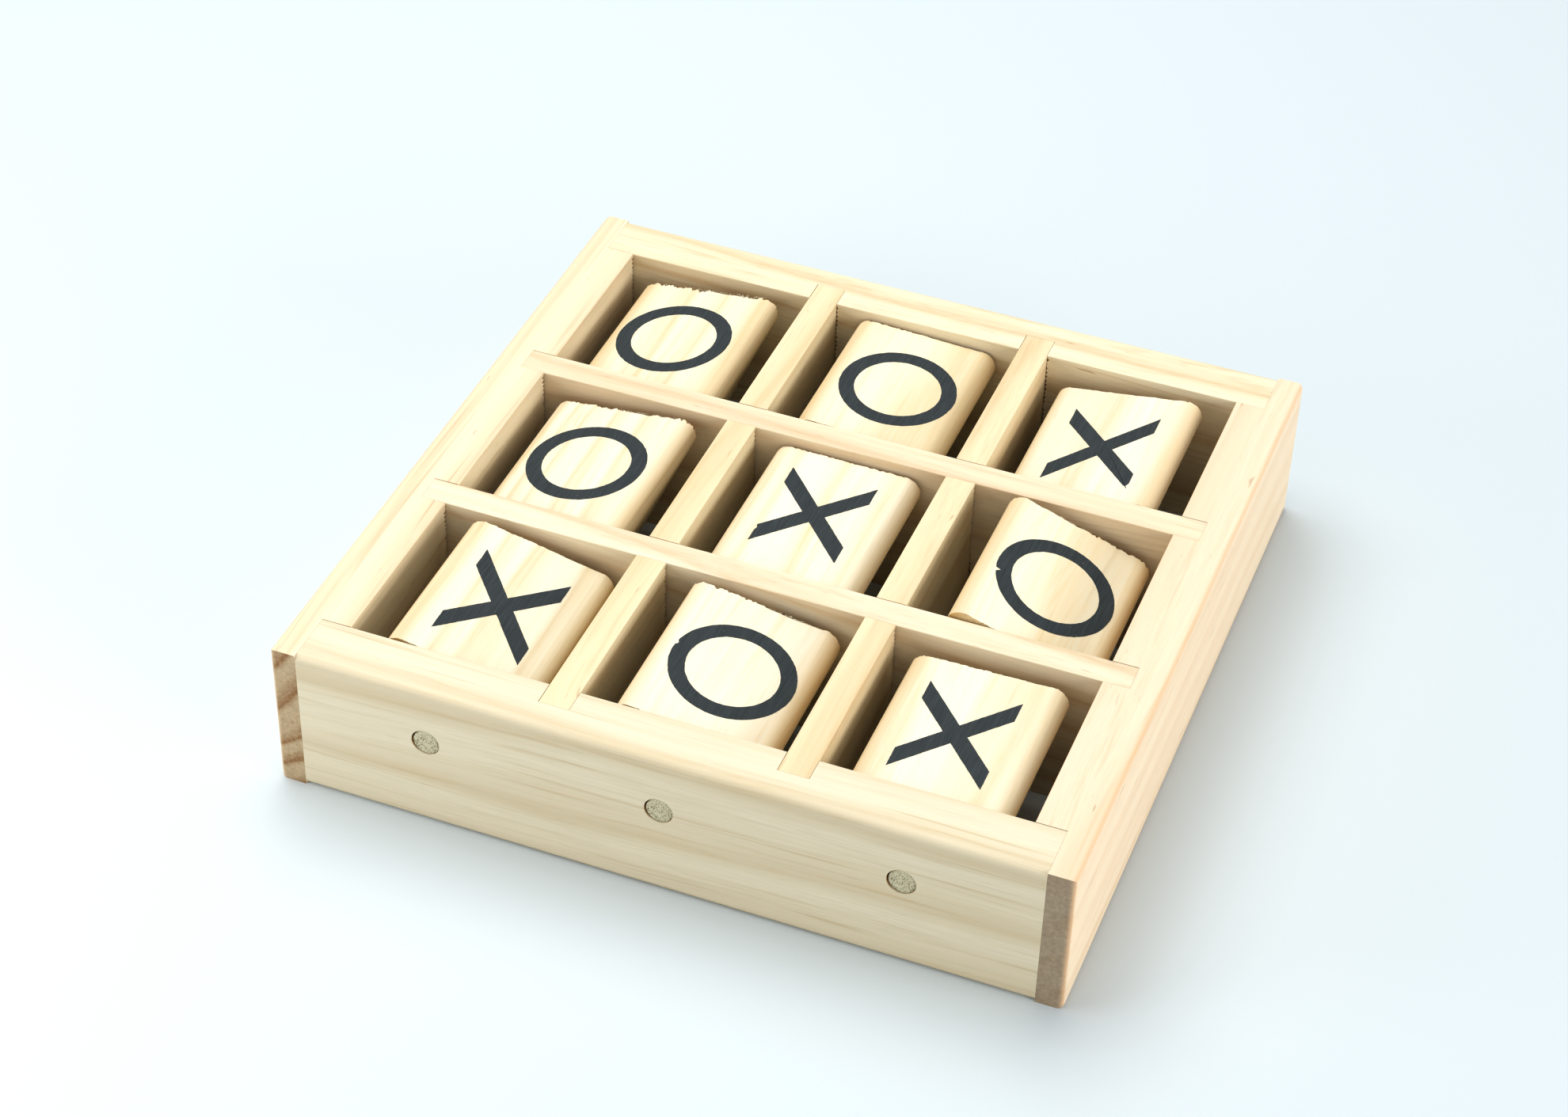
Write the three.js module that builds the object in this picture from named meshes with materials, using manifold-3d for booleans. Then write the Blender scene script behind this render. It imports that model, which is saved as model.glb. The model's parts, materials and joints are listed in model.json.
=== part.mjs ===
// Wooden tic tac toe set: nine three-sided pine blocks turning on bamboo dowels in a pine frame.
// Millimetres, +Z up, +X to the right along the front board, front towards -Y.
// The origin is on the table, under the centre of the frame.

import * as THREE from 'three';
import { mergeVertices } from 'three/addons/utils/BufferGeometryUtils.js';
import Module from 'manifold-3d';

const wasm = await Module();
wasm.setup();

// ---- Driving dimensions ----

const FRAME_WIDTH = 145;
const FRAME_DEPTH = 143.5;
const FRAME_HEIGHT = 30;
const BOARD_THICKNESS = 10.5;
const DIVIDER_THICKNESS = 5.7;
const GRID = 3;

// Corner joint: a rebate across each end of a side board takes the end of the front or back board.
const REBATE_LIP = 5;
// How far a divider's end is housed in the board it meets.
const HOUSING_DEPTH = 4.8;
// The gap round a glued joint, and between a dowel and the holes that hold it.
const FIT_GAP = 0.15;
const CORNER_RADIUS = 1.2;

const DOWEL_DIAMETER = 5;
const DOWEL_HEIGHT = 18.5;
const DOWEL_CHAMFER = 0.3;
// A block turns freely, so its bore is larger than the holes in the frame.
const BLOCK_BORE_GAP = 0.35;

// A block is an equilateral prism. The side is measured to the sharp corners, before rounding.
const BLOCK_SIDE = 33;
const BLOCK_CORNER_RADIUS = 3;

// The blocks were sawn one by one, so their lengths differ a little. Each stands as the set
// was left: tilt is in degrees, with the right side down, and ahead is the gap in front of it.
const BLOCKS = {
  front_left: { length: 34.5, tilt: 11.5, ahead: 0.4 },
  front_middle: { length: 34.8, tilt: 9.3, ahead: 0.4 },
  front_right: { length: 33.7, tilt: -1.5, ahead: 0.4 },
  centre_left: { length: 34.5, tilt: -6.5, ahead: 0.4 },
  centre_middle: { length: 34.5, tilt: 0.5, ahead: 1.85 },
  centre_right: { length: 34.8, tilt: 18.5, ahead: 0.4 },
  back_left: { length: 33.9, tilt: -7, ahead: 0.4 },
  back_middle: { length: 34.5, tilt: 2.4, ahead: 1.95 },
  back_right: { length: 33.7, tilt: -8.5, ahead: 0.4 },
};

const ROW_NAMES = ['front', 'centre', 'back'];
const COLUMN_NAMES = ['left', 'middle', 'right'];

// ---- Worked-out dimensions ----

const HALF_WIDTH = FRAME_WIDTH / 2;
const HALF_DEPTH = FRAME_DEPTH / 2;
const INNER_HALF_WIDTH = HALF_WIDTH - BOARD_THICKNESS;
const INNER_HALF_DEPTH = HALF_DEPTH - BOARD_THICKNESS;
const CELL_WIDTH = (2 * INNER_HALF_WIDTH - (GRID - 1) * DIVIDER_THICKNESS) / GRID;
const CELL_DEPTH = (2 * INNER_HALF_DEPTH - (GRID - 1) * DIVIDER_THICKNESS) / GRID;
const COLUMN_PITCH = CELL_WIDTH + DIVIDER_THICKNESS;
const ROW_PITCH = CELL_DEPTH + DIVIDER_THICKNESS;
const COLUMN_CENTRES = [-COLUMN_PITCH, 0, COLUMN_PITCH];
const ROW_CENTRES = [-ROW_PITCH, 0, ROW_PITCH];
// The dividers stand half-way between the centres of the cells.
const DIVIDER_XS = [-COLUMN_PITCH / 2, COLUMN_PITCH / 2];
const DIVIDER_YS = [-ROW_PITCH / 2, ROW_PITCH / 2];
const LAP_HEIGHT = FRAME_HEIGHT / 2;
const HOUSING_HALF_WIDTH = DIVIDER_THICKNESS / 2 + FIT_GAP;
// How far a cutting solid runs past the surface it opens.
const OVERRUN = 1;
// Steps in a quarter turn of an eased corner, and in a curve of an extruded section.
const CORNER_STEPS = 6;
const SECTION_STEPS = 24;
const BLOCK_STEPS = 10;
const DOWEL_SIDES = 24;

const PINE_SIDE = { color: 0xe6cfa4, roughness: 0.62, metalness: 0 };
const PINE_FRONT = { color: 0xe0cfa6, roughness: 0.62, metalness: 0 };
const PINE_DIVIDER = { color: 0xe2c9a0, roughness: 0.64, metalness: 0 };
const PINE_BLOCK = { color: 0xf0dfb8, roughness: 0.6, metalness: 0 };
const BAMBOO = { color: 0xb9ac86, roughness: 0.7, metalness: 0 };

// ---- Helpers ----

const toSolid = (geometry) => {
  const bare = geometry.index ? geometry.toNonIndexed() : geometry.clone();
  bare.deleteAttribute('normal');
  bare.deleteAttribute('uv');
  const merged = mergeVertices(bare, 1e-4);
  return new wasm.Manifold(new wasm.Mesh({
    numProp: 3,
    vertProperties: new Float32Array(merged.attributes.position.array),
    triVerts: new Uint32Array(merged.index.array),
  }));
};

const toGeometry = (solid) => {
  const mesh = solid.getMesh();
  const geometry = new THREE.BufferGeometry();
  geometry.setAttribute('position', new THREE.BufferAttribute(new Float32Array(mesh.vertProperties), 3));
  geometry.setIndex(new THREE.BufferAttribute(new Uint32Array(mesh.triVerts), 1));
  geometry.computeVertexNormals();
  return geometry;
};

const cutAway = (geometry, tools) => {
  let solid = toSolid(geometry);
  for (const tool of tools) {
    solid = solid.subtract(toSolid(tool));
  }
  return toGeometry(solid);
};

const boxBetween = (low, high) => {
  const size = high.map((value, index) => value - low[index]);
  const centre = high.map((value, index) => (value + low[index]) / 2);
  return new THREE.BoxGeometry(...size).translate(...centre);
};

const shapeFrom = (points) => new THREE.Shape(points.map(([x, y]) => new THREE.Vector2(x, y)));

const addHole = (shape, x, y, radius) => {
  const hole = new THREE.Path();
  hole.absarc(x, y, radius, 0, 2 * Math.PI, true);
  shape.holes.push(hole);
};

const extrude = (shape, depth, curveSegments) => new THREE.ExtrudeGeometry(shape, {
  depth,
  curveSegments,
  bevelEnabled: false,
});

// A shape drawn in X and Z, extruded along Y and centred on y = 0.
const extrudeAlongY = (shape, length, steps = SECTION_STEPS) =>
  extrude(shape, length, steps).translate(0, 0, -length / 2).rotateX(Math.PI / 2);

// A shape drawn in Y and Z, extruded along X and centred on x = 0.
const extrudeAlongX = (shape, length) => extrudeAlongY(shape, length).rotateZ(Math.PI / 2);

const addMesh = (parent, name, geometry, finish) => {
  const mesh = new THREE.Mesh(geometry, new THREE.MeshStandardMaterial(finish));
  mesh.name = name;
  parent.add(mesh);
  return mesh;
};

// ---- Frame boards ----

// The side board's plan outline on the side given by sign, with its outer corners eased.
// Its inner face has a rebate at each end and a housing for each cross divider.
const sideBoardGeometry = (sign) => {
  const outer = HALF_WIDTH;
  const inner = INNER_HALF_WIDTH;
  const rebateX = HALF_WIDTH - REBATE_LIP + FIT_GAP;
  const rebateY = INNER_HALF_DEPTH - FIT_GAP;
  const housingX = inner + HOUSING_DEPTH + FIT_GAP;
  const shape = new THREE.Shape();
  shape.moveTo(outer - CORNER_RADIUS, -HALF_DEPTH);
  shape.absarc(outer - CORNER_RADIUS, -HALF_DEPTH + CORNER_RADIUS, CORNER_RADIUS, -Math.PI / 2, 0);
  shape.absarc(outer - CORNER_RADIUS, HALF_DEPTH - CORNER_RADIUS, CORNER_RADIUS, 0, Math.PI / 2);
  shape.lineTo(rebateX, HALF_DEPTH);
  shape.lineTo(rebateX, rebateY);
  shape.lineTo(inner, rebateY);
  for (const y of [...DIVIDER_YS].reverse()) {
    shape.lineTo(inner, y + HOUSING_HALF_WIDTH);
    shape.lineTo(housingX, y + HOUSING_HALF_WIDTH);
    shape.lineTo(housingX, y - HOUSING_HALF_WIDTH);
    shape.lineTo(inner, y - HOUSING_HALF_WIDTH);
  }
  shape.lineTo(inner, -rebateY);
  shape.lineTo(rebateX, -rebateY);
  shape.lineTo(rebateX, -HALF_DEPTH);
  const geometry = extrude(shape, FRAME_HEIGHT, CORNER_STEPS);
  return sign > 0 ? geometry : geometry.rotateZ(Math.PI);
};

// The front or back board: bored for the three dowels and housed for the two column dividers.
const endBoardGeometry = (sign) => {
  const halfLength = HALF_WIDTH - REBATE_LIP;
  const shape = shapeFrom([
    [-halfLength, 0],
    [halfLength, 0],
    [halfLength, FRAME_HEIGHT],
    [-halfLength, FRAME_HEIGHT],
  ]);
  for (const x of COLUMN_CENTRES) {
    addHole(shape, x, DOWEL_HEIGHT, DOWEL_DIAMETER / 2 + FIT_GAP);
  }
  const centreY = sign * (HALF_DEPTH - BOARD_THICKNESS / 2);
  const board = extrudeAlongY(shape, BOARD_THICKNESS).translate(0, centreY, 0);
  const housingFloor = INNER_HALF_DEPTH + HOUSING_DEPTH + FIT_GAP;
  const housings = DIVIDER_XS.map((x) => {
    const mouth = sign * (INNER_HALF_DEPTH - OVERRUN);
    const floor = sign * housingFloor;
    return boxBetween(
      [x - HOUSING_HALF_WIDTH, Math.min(mouth, floor), -OVERRUN],
      [x + HOUSING_HALF_WIDTH, Math.max(mouth, floor), FRAME_HEIGHT + OVERRUN],
    );
  });
  return cutAway(board, housings);
};

// ---- Dividers ----

// A cross divider runs left to right. Its slots open downwards, so its top edge is unbroken,
// and the three dowels pass through it.
const crossDividerGeometry = () => {
  const halfLength = INNER_HALF_WIDTH + HOUSING_DEPTH;
  const points = [[-halfLength, 0]];
  for (const x of DIVIDER_XS) {
    points.push([x - HOUSING_HALF_WIDTH, 0]);
    points.push([x - HOUSING_HALF_WIDTH, LAP_HEIGHT + FIT_GAP]);
    points.push([x + HOUSING_HALF_WIDTH, LAP_HEIGHT + FIT_GAP]);
    points.push([x + HOUSING_HALF_WIDTH, 0]);
  }
  points.push([halfLength, 0], [halfLength, FRAME_HEIGHT], [-halfLength, FRAME_HEIGHT]);
  const shape = shapeFrom(points);
  for (const x of COLUMN_CENTRES) {
    addHole(shape, x, DOWEL_HEIGHT, DOWEL_DIAMETER / 2 + FIT_GAP);
  }
  return extrudeAlongY(shape, DIVIDER_THICKNESS);
};

// A column divider runs front to back. Its slots open upwards and take the cross dividers.
const columnDividerGeometry = () => {
  const halfLength = INNER_HALF_DEPTH + HOUSING_DEPTH;
  const points = [[-halfLength, 0], [halfLength, 0], [halfLength, FRAME_HEIGHT]];
  for (const y of [...DIVIDER_YS].reverse()) {
    points.push([y + HOUSING_HALF_WIDTH, FRAME_HEIGHT]);
    points.push([y + HOUSING_HALF_WIDTH, LAP_HEIGHT - FIT_GAP]);
    points.push([y - HOUSING_HALF_WIDTH, LAP_HEIGHT - FIT_GAP]);
    points.push([y - HOUSING_HALF_WIDTH, FRAME_HEIGHT]);
  }
  points.push([-halfLength, FRAME_HEIGHT]);
  return extrudeAlongX(shapeFrom(points), DIVIDER_THICKNESS);
};

// ---- Dowels ----

// A dowel runs the full depth of the frame, flush with the front and back faces.
const dowelGeometry = () => {
  const radius = DOWEL_DIAMETER / 2;
  const profile = [
    new THREE.Vector2(0, -HALF_DEPTH),
    new THREE.Vector2(radius - DOWEL_CHAMFER, -HALF_DEPTH),
    new THREE.Vector2(radius, -HALF_DEPTH + DOWEL_CHAMFER),
    new THREE.Vector2(radius, HALF_DEPTH - DOWEL_CHAMFER),
    new THREE.Vector2(radius - DOWEL_CHAMFER, HALF_DEPTH),
    new THREE.Vector2(0, HALF_DEPTH),
  ];
  return new THREE.LatheGeometry(profile, DOWEL_SIDES);
};

// ---- Blocks ----

// The block's section has one face up, its three corners rounded, and the bore at its centre.
const blockGeometry = (length) => {
  const apothem = BLOCK_SIDE / (2 * Math.sqrt(3));
  const cornerReach = 2 * (apothem - BLOCK_CORNER_RADIUS);
  const shape = new THREE.Shape();
  for (const direction of [30, 150, 270]) {
    const angle = THREE.MathUtils.degToRad(direction);
    const x = cornerReach * Math.cos(angle);
    const z = cornerReach * Math.sin(angle);
    shape.absarc(x, z, BLOCK_CORNER_RADIUS, angle - Math.PI / 3, angle + Math.PI / 3);
  }
  addHole(shape, 0, 0, DOWEL_DIAMETER / 2 + BLOCK_BORE_GAP);
  return extrudeAlongY(shape, length, BLOCK_STEPS);
};

// ---- Assembly ----

const addFrame = (set) => {
  addMesh(set, 'side_board_left', sideBoardGeometry(-1), PINE_SIDE);
  addMesh(set, 'side_board_right', sideBoardGeometry(1), PINE_SIDE);
  addMesh(set, 'front_board', endBoardGeometry(-1), PINE_FRONT);
  addMesh(set, 'back_board', endBoardGeometry(1), PINE_FRONT);
  DIVIDER_YS.forEach((y, index) => {
    const name = `cross_divider_${index === 0 ? 'front' : 'back'}`;
    addMesh(set, name, crossDividerGeometry(), PINE_DIVIDER).position.set(0, y, 0);
  });
  DIVIDER_XS.forEach((x, index) => {
    const name = `column_divider_${index === 0 ? 'left' : 'right'}`;
    addMesh(set, name, columnDividerGeometry(), PINE_DIVIDER).position.set(x, 0, 0);
  });
};

const addDowels = (set) => {
  COLUMN_CENTRES.forEach((x, column) => {
    const dowel = addMesh(set, `dowel_${COLUMN_NAMES[column]}`, dowelGeometry(), BAMBOO);
    dowel.position.set(x, 0, DOWEL_HEIGHT);
  });
};

const addBlocks = (set) => {
  ROW_CENTRES.forEach((y, row) => {
    COLUMN_CENTRES.forEach((x, column) => {
      const place = `${ROW_NAMES[row]}_${COLUMN_NAMES[column]}`;
      const { length, tilt, ahead } = BLOCKS[place];
      const pivot = new THREE.Group();
      pivot.position.set(x, y - CELL_DEPTH / 2 + ahead + length / 2, DOWEL_HEIGHT);
      pivot.rotation.y = THREE.MathUtils.degToRad(tilt);
      addMesh(pivot, `block_${place}`, blockGeometry(length), PINE_BLOCK);
      set.add(pivot);
    });
  });
};

const group = new THREE.Group();
addFrame(group);
addDowels(group);
addBlocks(group);

export default group;
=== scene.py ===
import json
import math
import random

import bmesh
import bpy
from mathutils import Matrix, Vector, noise


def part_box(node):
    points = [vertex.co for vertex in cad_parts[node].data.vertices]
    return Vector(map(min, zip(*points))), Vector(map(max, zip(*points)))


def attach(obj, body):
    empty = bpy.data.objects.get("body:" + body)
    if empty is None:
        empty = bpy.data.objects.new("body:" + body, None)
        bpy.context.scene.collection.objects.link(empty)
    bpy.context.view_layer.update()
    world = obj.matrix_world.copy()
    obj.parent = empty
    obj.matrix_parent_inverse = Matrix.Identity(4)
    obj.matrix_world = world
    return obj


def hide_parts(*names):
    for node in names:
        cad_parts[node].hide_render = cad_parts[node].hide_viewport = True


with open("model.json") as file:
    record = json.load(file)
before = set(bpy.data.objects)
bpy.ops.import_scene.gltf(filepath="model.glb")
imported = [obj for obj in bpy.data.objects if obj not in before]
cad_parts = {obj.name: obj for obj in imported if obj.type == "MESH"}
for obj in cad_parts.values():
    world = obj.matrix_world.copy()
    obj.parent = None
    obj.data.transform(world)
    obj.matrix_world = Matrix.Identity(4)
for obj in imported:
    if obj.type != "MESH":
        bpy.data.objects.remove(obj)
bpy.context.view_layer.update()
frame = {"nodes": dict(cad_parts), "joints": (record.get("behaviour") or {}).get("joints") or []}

bl_info = {
    "name": "Turning-block tic tac toe set",
    "version": (1, 0, 0),
    "blender": (4, 5, 0),
    "location": "View3D > Sidebar > Tic Tac Toe",
    "description": "A pine frame with nine turning blocks, their printed marks and a studio",
    "category": "Add Mesh",
}

MM = 0.001

ROWS = ("front", "centre", "back")
COLUMNS = ("left", "middle", "right")
PLACES = [f"{row}_{column}" for row in ROWS for column in COLUMNS]

# Sockets of the Mix node when it mixes colours.
MIX_FACTOR, MIX_A, MIX_B, MIX_RESULT = 0, 6, 7, 2


# ---------------------------------------------------------------- settings


class BoardSettings(bpy.types.PropertyGroup):
    """Sizes of the frame's boards and dividers that the frame itself doesn't fix."""

    outer_edge: bpy.props.FloatProperty(
        name="Outer edge radius", description="Round-over on the long outer edges",
        default=1.3 * MM, min=0, unit="LENGTH")
    inner_edge: bpy.props.FloatProperty(
        name="Inner edge radius", description="Sanded arris on the inner edges",
        default=0.18 * MM, min=0, unit="LENGTH")
    joint_gap: bpy.props.FloatProperty(
        name="Joint gap", description="Open glue line on each side of a housed divider",
        default=0.025 * MM, min=0, unit="LENGTH")
    tear_out: bpy.props.FloatProperty(
        name="Tear-out", description="How far fibres broke away beside a saw cut",
        default=1.0 * MM, min=0, unit="LENGTH")


class BlockSettings(bpy.types.PropertyGroup):
    """Sizes of the turning blocks."""

    corner: bpy.props.FloatProperty(
        name="Corner radius", description="Round on the three long edges",
        default=3 * MM, min=0, unit="LENGTH")
    bore: bpy.props.FloatProperty(
        name="Bore radius", description="Radius of the hole for the dowel",
        default=2.8 * MM, min=0, unit="LENGTH")
    edge_break: bpy.props.FloatProperty(
        name="End edge", description="Sanded edge where a face meets an end",
        default=0.3 * MM, min=0, unit="LENGTH")
    end_roughness: bpy.props.FloatProperty(
        name="End roughness", description="Depth of the ragged saw cut at each end",
        default=0.22 * MM, min=0, unit="LENGTH")
    seed: bpy.props.IntProperty(
        name="Seed", description="Seed of the saw-cut pattern and torn fibres", default=7)


class MarkSettings(bpy.types.PropertyGroup):
    """Sizes of the printed marks."""

    ring_diameter: bpy.props.FloatProperty(
        name="Ring diameter", description="Outside diameter of the nought",
        default=22.6 * MM, min=0, unit="LENGTH")
    ring_stroke: bpy.props.FloatProperty(
        name="Ring stroke", description="Width of the nought's line",
        default=2.95 * MM, min=0, unit="LENGTH")
    cross_width: bpy.props.FloatProperty(
        name="Cross width", description="Width of the cross, across the dowel",
        default=16.6 * MM, min=0, unit="LENGTH")
    cross_height: bpy.props.FloatProperty(
        name="Cross height", description="Height of the cross, along the dowel",
        default=22.7 * MM, min=0, unit="LENGTH")
    cross_cut: bpy.props.FloatProperty(
        name="Cross arm end", description="Length of the cut end of each arm",
        default=4.7 * MM, min=0, unit="LENGTH")
    thickness: bpy.props.FloatProperty(
        name="Ink thickness", description="How far the dry ink stands on the wood",
        default=0.04 * MM, min=0, unit="LENGTH")
    ink: bpy.props.StringProperty(
        name="Ink", description="sRGB hex colour of the ink", default="43484a")


class DowelSettings(bpy.types.PropertyGroup):
    """Sizes of the dowels."""

    hole_gap: bpy.props.FloatProperty(
        name="Hole gap", description="How much larger the drilled hole's radius is",
        default=0.12 * MM, min=0, unit="LENGTH")
    recess: bpy.props.FloatProperty(
        name="Recess", description="How far the cut end lies below the board's face",
        default=0.2 * MM, min=0, unit="LENGTH")
    flesh: bpy.props.StringProperty(
        name="Bamboo", description="sRGB hex colour of the soft tissue", default="d3ccb2")
    fibre: bpy.props.StringProperty(
        name="Fibre bundles", description="sRGB hex colour of the fibre bundles",
        default="847b5f")


class StageSettings(bpy.types.PropertyGroup):
    """The studio round the set."""

    floor: bpy.props.StringProperty(
        name="Floor", description="sRGB hex colour of the floor", default="cfd6da")
    sky_strength: bpy.props.FloatProperty(
        name="Surround", description="Brightness of the white surround", default=0.43, min=0)
    key_power: bpy.props.FloatProperty(
        name="Key light", description="Power of the overhead soft box", default=5.2,
        min=0, unit="POWER")
    side_power: bpy.props.FloatProperty(
        name="Side light", description="Power of the soft box on the right", default=3.4,
        min=0, unit="POWER")
    front_power: bpy.props.FloatProperty(
        name="Front light", description="Power of the soft box at the front left",
        default=0.35, min=0, unit="POWER")
    lens: bpy.props.FloatProperty(
        name="Lens", description="Focal length in millimetres", default=76.42, min=1)


# ---------------------------------------------------------------- helpers


def linear(hex_colour):
    """An sRGB hex colour as a linear RGBA tuple."""
    channels = [int(hex_colour[i:i + 2], 16) / 255 for i in (0, 2, 4)]
    return (*[c / 12.92 if c <= 0.04045 else ((c + 0.055) / 1.055) ** 2.4
              for c in channels], 1.0)


def add_node(tree, kind, inputs=None, **settings):
    """Adds a node with its settings; an input is a value or a socket to link from."""
    node = tree.nodes.new(kind)
    for key, value in settings.items():
        setattr(node, key, value)
    for key, value in (inputs or {}).items():
        if isinstance(value, bpy.types.NodeSocket):
            tree.links.new(value, node.inputs[key])
        else:
            node.inputs[key].default_value = value
    return node


def new_object(name, mesh):
    """An object at the origin that shows this mesh."""
    item = bpy.data.objects.new(name, mesh)
    bpy.context.scene.collection.objects.link(item)
    return item


def new_material(name):
    """A material with an empty node tree."""
    material = bpy.data.materials.new(name)
    material.use_nodes = True
    material.node_tree.nodes.clear()
    return material, material.node_tree


def mesh_of(body, name):
    """Turns a bmesh into a mesh and frees it."""
    mesh = bpy.data.meshes.new(name)
    body.to_mesh(mesh)
    body.free()
    return mesh


def frozen(item):
    """The object's evaluated mesh as a plain mesh, with its modifiers removed."""
    bpy.context.view_layer.update()
    evaluated = item.evaluated_get(bpy.context.evaluated_depsgraph_get())
    mesh = bpy.data.meshes.new_from_object(evaluated)
    item.modifiers.clear()
    return mesh


def finish_piece(item, mesh, material, body, node):
    """Gives a finished mesh its material and smooth shading, and sets what it stands for."""
    item.data = mesh
    mesh.name = item.name
    mesh.materials.clear()
    mesh.materials.append(material)
    for polygon in mesh.polygons:
        polygon.material_index = 0
    mesh.shade_smooth()
    mesh.set_sharp_from_angle(angle=math.radians(32))
    weighted = item.modifiers.new("even shading", "WEIGHTED_NORMAL")
    weighted.keep_sharp = True
    item.data = frozen(item)
    item.data.name = item.name
    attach(item, body)
    if node:
        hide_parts(node)


def centre_of(node):
    """The middle of a CAD node's box."""
    low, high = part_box(node)
    return (low + high) / 2


# ---------------------------------------------------------------- materials


def pine(name, axis, centre, pith, ring, pale, streak, seed, lean=(0.0, 0.0), contrast=1.0,
         end_tint="b09a80", end_bands=1.0, fibre=1.0, lines=0.4, canals=0.4, edge_tint=None,
         painted_corner_shade=None, corner_from=0.0):
    """Planed pine, sawn from a log whose pith lies to one side of the piece.

    Growth rings are cylinders round the pith, so that faces show long streaks and ends
    show arcs. Each ring darkens slowly to its latewood and then stops sharply. Fine
    fibres along the grain give the matt, slightly silky surface of planed softwood.
    axis is the grain's direction; pith is its place in millimetres from the centre.
    lines groups fine brown lines along the grain; canals shows the resin canals; edge_tint
    is a darker tone mixed into the rounded edges of a board, and the corner colour is painted
    shade on a block's round corners, which start corner_from millimetres from its dowel.
    """
    material, tree = new_material(name)
    across = {"X": ("Y", "Z"), "Y": ("X", "Z"), "Z": ("X", "Y")}[axis]
    coords = add_node(tree, "ShaderNodeTexCoord")
    shifted = add_node(tree, "ShaderNodeVectorMath", {
        0: coords.outputs["Object"], 1: centre}, operation="SUBTRACT")
    millimetres = add_node(tree, "ShaderNodeVectorMath", {
        0: shifted.outputs[0], "Scale": 1000.0}, operation="SCALE")
    parts = add_node(tree, "ShaderNodeSeparateXYZ", {0: millimetres.outputs[0]})
    along = parts.outputs[axis]
    sides = []
    for side, offset, slope in zip(across, pith, lean):
        leaning = add_node(tree, "ShaderNodeMath", {
            0: along, 1: slope, 2: -offset}, operation="MULTIPLY_ADD")
        sides.append(add_node(tree, "ShaderNodeMath", {
            0: parts.outputs[side], 1: leaning.outputs[0]}, operation="ADD").outputs[0])
    log = add_node(tree, "ShaderNodeCombineXYZ", {0: sides[0], 1: sides[1], 2: along})

    # The log isn't quite straight or round: slow swells about 25 mm across, 150 mm long.
    swell_at = add_node(tree, "ShaderNodeMapping", {
        0: log.outputs[0], "Location": (seed * 3.1, seed * 1.7, seed * 2.3),
        "Scale": (0.035, 0.035, 0.007)})
    swell = add_node(tree, "ShaderNodeTexNoise", {
        0: swell_at.outputs[0], "Scale": 1.0, "Detail": 2.0, "Roughness": 0.5})
    swell_out = add_node(tree, "ShaderNodeVectorMath", {
        0: swell.outputs["Color"], 1: (0.5, 0.5, 0.5)}, operation="SUBTRACT")
    swell_mm = add_node(tree, "ShaderNodeVectorMath", {
        0: swell_out.outputs[0], 1: (9.0, 9.0, 0.0)}, operation="MULTIPLY")
    bent = add_node(tree, "ShaderNodeVectorMath", {
        0: log.outputs[0], 1: swell_mm.outputs[0]}, operation="ADD")
    flat = add_node(tree, "ShaderNodeVectorMath", {
        0: bent.outputs[0], 1: (1.0, 1.0, 0.0)}, operation="MULTIPLY")
    radius = add_node(tree, "ShaderNodeVectorMath", {0: flat.outputs[0]}, operation="LENGTH")

    # Good and poor years: the ring width drifts with the radius.
    years = add_node(tree, "ShaderNodeTexNoise", {
        "W": radius.outputs["Value"], "Scale": 0.45 / ring, "Detail": 1.0},
        noise_dimensions="1D")
    phase = add_node(tree, "ShaderNodeMath", {
        0: radius.outputs["Value"], 1: 1.0 / ring, 2: years.outputs[0]},
        operation="MULTIPLY_ADD")
    turn = add_node(tree, "ShaderNodeMath", {0: phase.outputs[0]}, operation="FRACT")
    band = add_node(tree, "ShaderNodeValToRGB", {0: turn.outputs[0]})
    ramp = band.color_ramp
    ramp.interpolation = "EASE"
    steps = ((0.0, 0.3), (0.1, 0.0), (0.42, 0.06), (0.7, 0.5), (0.88, 1.0), (1.0, 0.3))
    ramp.elements[0].position, ramp.elements[1].position = steps[0][0], steps[-1][0]
    for position, _ in steps[1:-1]:
        ramp.elements.new(position)
    for element, (_, value) in zip(ramp.elements, steps):
        element.color = (value, value, value, 1.0)

    # Fibres 0.3 mm wide and about 10 mm long, and broader soft tones 2 mm wide.
    fibre_at = add_node(tree, "ShaderNodeMapping", {
        0: bent.outputs[0], "Location": (seed * 11.0, 0.0, 0.0), "Scale": (2.6, 2.6, 0.09)})
    fibres = add_node(tree, "ShaderNodeTexNoise", {
        0: fibre_at.outputs[0], "Scale": 1.0, "Detail": 4.0, "Roughness": 0.62})
    tone_at = add_node(tree, "ShaderNodeMapping", {
        0: bent.outputs[0], "Location": (0.0, seed * 7.0, 0.0), "Scale": (0.42, 0.42, 0.018)})
    tones = add_node(tree, "ShaderNodeTexNoise", {
        0: tone_at.outputs[0], "Scale": 1.0, "Detail": 3.0, "Roughness": 0.55})

    # Resin canals: short brown dashes, a few in each square centimetre.
    canal_at = add_node(tree, "ShaderNodeMapping", {
        0: bent.outputs[0], "Location": (seed * 5.0, 3.0, 0.0), "Scale": (1.5, 1.5, 0.17)})
    canal_noise = add_node(tree, "ShaderNodeTexNoise", {
        0: canal_at.outputs[0], "Scale": 1.0, "Detail": 1.0, "Roughness": 0.4})
    canal_mask = add_node(tree, "ShaderNodeMapRange", {
        0: canal_noise.outputs[0], 1: 0.735, 2: 0.82, 3: 0.0, 4: canals})

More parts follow.
